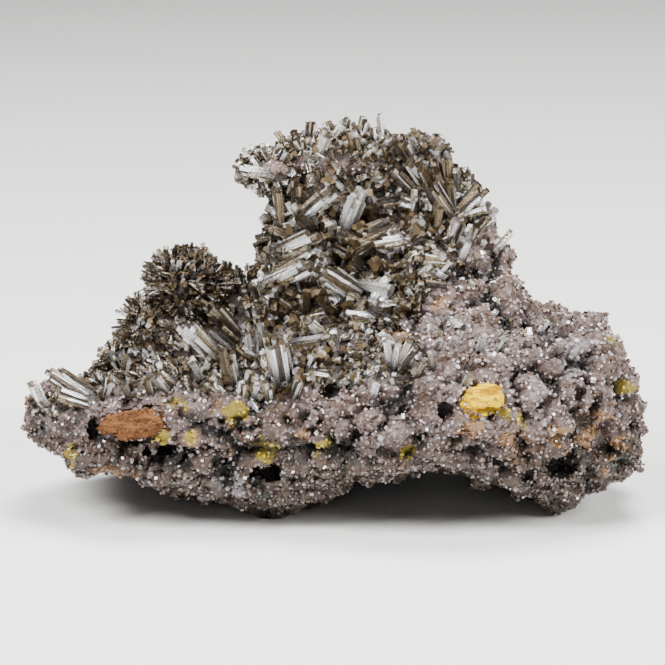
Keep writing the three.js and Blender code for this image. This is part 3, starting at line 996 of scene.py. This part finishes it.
LOWER_SLOPE = [
    (250, 356, 247, 331, 9, 30, 0.7), (262, 345, 258, 318, 11, 30, 0.85),
    (285, 374, 278, 336, 28, 35, 0.7), (300, 345, 328, 342, 20, 45, 0.95),
    (306, 334, 306, 320, 12, 40, 0.8), (278, 338, 278, 325, 12, 35, 0.35),
    (235, 332, 210, 305, 20, 25, 0.5), (230, 345, 208, 326, 9, 30, 0.6),
    (238, 340, 222, 328, 9, 30, 0.6), (213, 355, 182, 322, 22, 25, 0.95),
    (198, 376, 190, 360, 9, 40, 0.95), (232, 384, 226, 350, 18, 35, 0.5),
    (255, 360, 232, 343, 12, 35, 0.55), (246, 383, 250, 368, 8, 40, 0.95),
    (255, 390, 258, 380, 9, 40, 0.95), (268, 394, 266, 382, 8, 40, 0.9),
    (262, 364, 256, 354, 9, 35, 0.75), (185, 345, 170, 330, 12, 20, 0.4),
    (205, 372, 214, 356, 10, 35, 0.6), (310, 365, 316, 352, 10, 45, 0.5),
    (175, 372, 165, 358, 10, 25, 0.6), (295, 392, 300, 378, 10, 45, 0.6),
]
LEFT_END = [
    (88, 394, 48, 368, 22, 15, 0.7), (85, 398, 55, 385, 11, 20, 0.65),
    (85, 405, 57, 396, 9, 25, 0.6), (44, 404, 33, 380, 11, 5, 0.65),
    (118, 368, 112, 355, 9, 30, 0.95), (125, 370, 128, 356, 8, 30, 0.8),
    (165, 388, 155, 375, 9, 35, 0.95), (128, 392, 124, 380, 8, 35, 0.95),
    (108, 392, 113, 382, 8, 45, 0.8), (82, 396, 80, 382, 9, 25, 0.95),
    (100, 380, 92, 366, 9, 20, 0.5), (66, 388, 60, 374, 9, 10, 0.5),
    (150, 392, 146, 378, 9, 35, 0.7), (72, 405, 62, 402, 8, 20, 0.8),
]
RIGHT_FAN = [
    (390, 360, 386, 337, 9, 35, 0.9), (395, 362, 398, 340, 9, 35, 0.85),
    (400, 360, 408, 338, 9, 35, 0.8), (404, 364, 416, 348, 8, 40, 0.7),
]
CRUST_BLADES = [
    (452, 320, 465, 330, 8, 50, 1.0), (436, 346, 440, 338, 8, 55, 1.0),
    (452, 343, 458, 333, 8, 50, 1.0), (480, 348, 483, 332, 9, 45, 1.0),
    (432, 364, 430, 352, 7, 45, 0.95), (375, 392, 378, 382, 8, 45, 0.95),
    (466, 382, 470, 372, 8, 50, 0.95), (500, 350, 508, 338, 8, 45, 0.9),
    (420, 372, 426, 360, 7, 50, 0.8), (545, 330, 552, 320, 7, 45, 0.8),
]
TOWER = CROWN + SHOULDER + TOWER_FRONT + VALLEY
ALL_BUNDLES = (TOWER, LOWER_SLOPE, LEFT_END, RIGHT_FAN, CRUST_BLADES)
print("bundles listed:", sum(map(len, ALL_BUNDLES)))

# %% Turn the list into points
PRISM_STEPS = 5.6
ROOT_DEPTH = 0.8 * MM


def point_mesh(roots, facts):
    """Loose points that carry facts."""
    mesh = bpy.data.meshes.new("points")
    mesh.from_pydata([tuple(r) for r in roots], [], [])
    for name in ("length", "width", "tint"):
        mark(mesh, name, facts[name])
    mesh.attributes.new("count", "INT", "POINT").data.foreach_set("value", facts["count"])
    axes = np.array([tuple(a) for a in facts["axis"]], dtype=np.float32)
    mesh.attributes.new("axis", "FLOAT_VECTOR", "POINT").data.foreach_set("vector", axes.ravel())
    return mesh


def bundle_points(rows):
    """A mesh of points for rows of root, tip, width, lean to the viewer, and tint."""
    roots = []
    facts = {"length": [], "width": [], "tint": [], "count": [], "axis": []}
    for root_x, root_y, tip_x, tip_y, width, lean, tint in rows:
        rise = math.hypot(tip_x - root_x, tip_y - root_y) / STEPS_PER_MM * MM
        turn = math.atan2(root_y - tip_y, tip_x - root_x)
        tilt = math.radians(lean)
        flat = RIGHT * math.cos(turn) + UP * math.sin(turn)
        axis = flat * math.cos(tilt) + NEARER * math.sin(tilt)
        roots.append(seen(root_x, root_y) - axis * ROOT_DEPTH)
        facts["length"].append(rise / math.cos(tilt) + ROOT_DEPTH)
        facts["width"].append(width / STEPS_PER_MM * MM)
        facts["tint"].append(tint)
        facts["count"].append(max(2, round((width / PRISM_STEPS) ** 2)))
        facts["axis"].append(axis)
    return point_mesh(roots, facts)


def bundle_mesh(rows):
    """The prisms of all bundles in a list."""
    return grown(bundle_points(rows), bundles, Material=crystal_look)


tower_bundles = bundle_mesh(TOWER)
slope_bundles = bundle_mesh(LOWER_SLOPE)
left_bundles = bundle_mesh(LEFT_END)
fan_bundles = bundle_mesh(RIGHT_FAN)
print("tower bundle faces:", len(tower_bundles.polygons))

# %% [markdown]
# ## Small crystals between the bundles
# The slope between the large bundles is never bare: short prisms stand on it in every direction.
# The tree spreads points over the rock where a mask allows them, turns each towards the surface's
# normal with a wide random lean, and hands them to the same bundle filler.

# %% Grow turf
SHORTER = (0.45, 1.0)
WIDER = (0.7, 1.3)
TINT_SWING = (-0.3, 0.45)
ROOTED = 0.25
TURF_TILT = math.radians(9)


def turf_tree():
    """Spreads points where a mask allows them, and grows prisms on them."""
    sizes = {
        "Mask": "String", "Spacing": "Float", "Density": "Float", "Length": "Float",
        "Width": "Float", "Lean": "Float", "Tint": "Float", "Count": "Int", "Sides": "Int",
        "Seed": "Int", "Material": "Material",
    }
    graph, given = new_tree("crystal_turf", sizes)
    mask = named(graph, given["Mask"])
    spread = graph.node(
        "GeometryNodeDistributePointsOnFaces", {"distribute_method": "POISSON"},
        {"Mesh": given["Geometry"], "Distance Min": given["Spacing"],
         "Density Max": given["Density"], "Density Factor": mask, "Seed": given["Seed"]},
    )
    wild = graph.node(
        "FunctionNodeRandomValue", {"data_type": "FLOAT_VECTOR"}, {0: (-1, -1, -1), 8: 5}
    )
    wild = graph.scaled(wild, given["Lean"])
    axis = graph.vector("NORMALIZE", graph.vector("ADD", spread.other("Normal"), wild))
    length = given["Length"] * chance(graph, *SHORTER, 6)
    points = store(graph, spread, "axis", axis, "FLOAT_VECTOR")
    points = store(graph, points, "length", length)
    points = store(graph, points, "width", given["Width"] * chance(graph, *WIDER, 7))
    points = store(graph, points, "count", given["Count"], "INT")
    points = store(graph, points, "tint", given["Tint"] + chance(graph, *TINT_SWING, 8))
    down = graph.scaled(axis, length * -ROOTED)
    rooted = graph.node("GeometryNodeSetPosition", None, {"Geometry": points, "Offset": down})
    prisms = fill_bundles(graph, rooted, seed=21, tilt=TURF_TILT, sides=given["Sides"])
    return close_tree(graph, prisms, given["Material"])


turf = turf_tree()


def turf_mesh(
    ground, mask, length, width, seed, tint=0.3, lean=0.7, count=3, spacing=0.7, density=2.5,
    sides=SIX, look=crystal_look,
):
    """Prisms on a ground mesh; sizes in millimetres, density in points for each square one."""
    return grown(
        ground.copy(), turf, Mask=mask, Spacing=spacing * MM, Density=density / MM**2,
        Length=length * MM, Width=width * MM, Lean=lean, Count=count, Sides=sides, Tint=tint,
        Seed=seed, Material=look,
    )


tower_turf = turf_mesh(
    rock_mesh, "tower_crystals", length=1.9, width=0.8, seed=1, tint=0.44, lean=1.5,
)
tower_tufts = turf_mesh(
    rock_mesh, "tower_crystals", length=4.0, width=1.9, seed=12, tint=0.55, lean=1.2, count=8,
    spacing=1.3, density=0.6,
)
brim_turf = turf_mesh(
    tower_core, "druse", length=2.2, width=0.8, seed=2, tint=0.54, lean=0.8, spacing=0.5,
    density=5,
)
needles = turf_mesh(
    knob_core, "druse", length=3.4, width=0.7, seed=3, tint=0.37, lean=0.4, count=5, spacing=0.55,
    density=5,
)
left_needles = turf_mesh(
    left_core, "druse", length=1.6, width=0.7, seed=4, tint=0.5, lean=0.4, spacing=0.5, density=5,
)
print("tower turf faces:", len(tower_turf.polygons))

# %% Keep the crystal clusters
slope_turf = turf_mesh(
    rock_mesh, "slope_crystals", length=2.8, width=1.3, seed=5, tint=0.52, lean=1.2, count=5,
    spacing=0.9, density=1.4,
)
left_turf = turf_mesh(
    rock_mesh, "left_crystals", length=1.6, width=0.7, seed=6, tint=0.42, lean=0.8, count=4,
    spacing=0.6, density=3,
)
fan_turf = turf_mesh(rock_mesh, "fan_crystals", length=1.2, width=0.7, seed=7, tint=0.6)
knob_turf = turf_mesh(rock_mesh, "knob_crystals", length=1.8, width=0.8, seed=8)

tower_parts = [tower_bundles, tower_turf, tower_tufts, tower_core.copy(), brim_turf]
keep("tower_growth", joined(tower_parts), "tower_crystals")
keep("knob_growth", joined([needles, knob_core, knob_turf]), "knob_crystals")
keep("slope_growth", joined([slope_bundles, slope_turf]), "slope_crystals")
left_parts = [left_bundles, left_core, left_needles, left_turf]
keep("left_growth", joined(left_parts), "left_crystals")
keep("fan_growth", joined([fan_bundles, fan_turf]), "fan_crystals")

# %% [markdown]
# ## Druse and blades
# Away from the clusters, smaller crystals still cover the slope, and bright blades lie on the crust
# beside it. They come from the same trees, spread over the rock itself.

# %% Cover the rest of the slope
small_druse = turf_mesh(
    rock_mesh, "bare_druse", length=1.5, width=0.7, seed=9, tint=0.42, lean=0.9, count=4,
    spacing=0.6, density=3,
)
slope_tufts = turf_mesh(
    rock_mesh, "bare_druse", length=2.6, width=1.3, seed=13, tint=0.45, lean=0.9, count=6,
    spacing=1.3, density=0.4,
)
blades = bundle_mesh(CRUST_BLADES)
glitter = turf_mesh(
    rock_mesh, "glitter", length=1.6, width=0.55, seed=15, tint=0.85, lean=2.0, count=1,
    spacing=0.9, density=1.2,
)
keep("slope_druse", joined([small_druse, slope_tufts, blades, glitter]), "matrix")

# %% [markdown]
# ## The earthy lumps
# The orange lump is crumbly, and the yellow one has fine wavy ridges. Both solids are remeshed
# finely and roughened with the rock's tree, with small swells and no deep pits. Crumbs of its own
# earth lie on the orange one. The crust grows over the edges of both, so a mask of what lies near
# the rock is kept for it.

# %% Throw grains on a surface
GRAIN_LEAN = 1.9
GRAIN_TINT = 0.4


def grain_mesh(ground, mask, look=grain_look, **sizes):
    """Low single prisms in every direction."""
    return turf_mesh(
        ground, mask, count=1, lean=GRAIN_LEAN, tint=GRAIN_TINT, look=look, **sizes
    )


print("grain thrower ready")

# %% Make the lumps
OVERGROWN = 0.55 * MM
LUMP_FACE = 0.14 * MM


def earth_mesh(node, look, swell):
    """A lump's solid, roughened, with a mask of the edge that the crust grows over."""
    fine = even_faces(merged_copy(node), LUMP_FACE)
    mark(fine, "edge", near_mask(points_of(fine), "matrix", OVERGROWN))
    mark(fine, "all", np.ones(len(fine.vertices)))
    return grown(
        fine, weathered, Swell=swell * MM, Ledge=0.6 * MM, Bed=0.6 * MM, Lump=0.2 * MM,
        Grit=0.3 * MM, Pit=0.3 * MM, Inset=0.0, Material=look,
    )


orange_earth = earth_mesh("orange_lump", orange_look, swell=0.8)
yellow_earth = earth_mesh("yellow_lump", yellow_look, swell=0.4)
edge_grains = [
    grain_mesh(lump, "edge", length=0.5, width=0.38, sides=4, seed=17, spacing=0.4, density=3)
    for lump in (orange_earth, yellow_earth)
]
orange_crumbs = grain_mesh(
    orange_earth, "all", length=0.4, width=0.4, sides=4, seed=16, spacing=0.5, density=2,
    look=orange_look,
)
keep("orange_earth", joined([orange_earth, orange_crumbs]), "orange_lump")
keep("yellow_earth", yellow_earth, "yellow_lump")

# %% [markdown]
# ## Grains of the crust
# The crust is made of grains a fraction of a millimetre across. Bump alone looks smooth in outline,
# so the grains are real geometry: low prisms thrown on the surface in two sizes.

# %% Cover the crust with grains
band_grains = grain_mesh(
    tower_core, "crust", length=0.5, width=0.34, sides=4, seed=14, spacing=0.35, density=5
)
fine_grains = grain_mesh(
    rock_mesh, "crust", length=0.5, width=0.38, sides=4, seed=10, spacing=0.45, density=2.5
)
coarse_grains = grain_mesh(
    rock_mesh, "plain_crust", length=0.8, width=0.44, sides=5, seed=11, spacing=0.9, density=0.5
)
keep("fine_grains", joined([fine_grains, band_grains, *edge_grains]), "matrix")
keep("coarse_grains", coarse_grains, "matrix")

# %% [markdown]
# ## Floor and light
# A plain pale floor and four soft lights, as in a small studio. The lights matter more than usual
# here: the silver of the prisms is partly their reflection and partly painted, so the surroundings are
# kept dim.

# %% Lay the floor
FLOOR_HALF = 3
FLOOR_CORNERS = [(-1, -1, 0), (1, -1, 0), (1, 1, 0), (-1, 1, 0)]

floor_mesh = bpy.data.meshes.new("floor")
floor_mesh.from_pydata([Vector(c) * FLOOR_HALF for c in FLOOR_CORNERS], [], [(0, 1, 2, 3)])
floor = put("floor", floor_mesh)
floor_look = Finish("pale_floor")
floor_mesh.materials.append(floor_look.feed(Base_Color=rgba(228, 227, 224), Roughness=0.6))
print("floor laid")

# %% Hang the lights
LIGHT_AIM = Vector((0, 0, 20 * MM))
# Each light has a name, a place and a size in metres, and a power in watts.
LIGHTS = [
    ("key", (-0.3, -0.35, 0.45), 0.28, 11.5),
    ("top", (0.08, 0.05, 0.6), 0.3, 8),
    ("side", (0.45, -0.25, 0.3), 0.25, 7),
    ("front", (-0.05, -0.7, 0.2), 0.25, 0.8),
]
SURROUNDINGS = (0.5, 0.5, 0.52, 1)
SURROUNDINGS_STRENGTH = 0.07


def soft_light(name, place, size, power):
    """A square lamp that faces the middle of the specimen."""
    lamp = bpy.data.lights.new(name, "AREA")
    lamp.size = size
    lamp.energy = power
    holder = put(name, lamp)
    holder.location = place
    aim = LIGHT_AIM - holder.location
    holder.rotation_euler = aim.to_track_quat("-Z", "Y").to_euler()


for light in LIGHTS:
    soft_light(*light)
world = bpy.data.worlds.new("studio")
world.use_nodes = True
background = world.node_tree.nodes["Background"]
background.inputs["Color"].default_value = SURROUNDINGS
background.inputs["Strength"].default_value = SURROUNDINGS_STRENGTH
bpy.context.scene.world = world
print("triangles in all:", sum(triangles.values()))
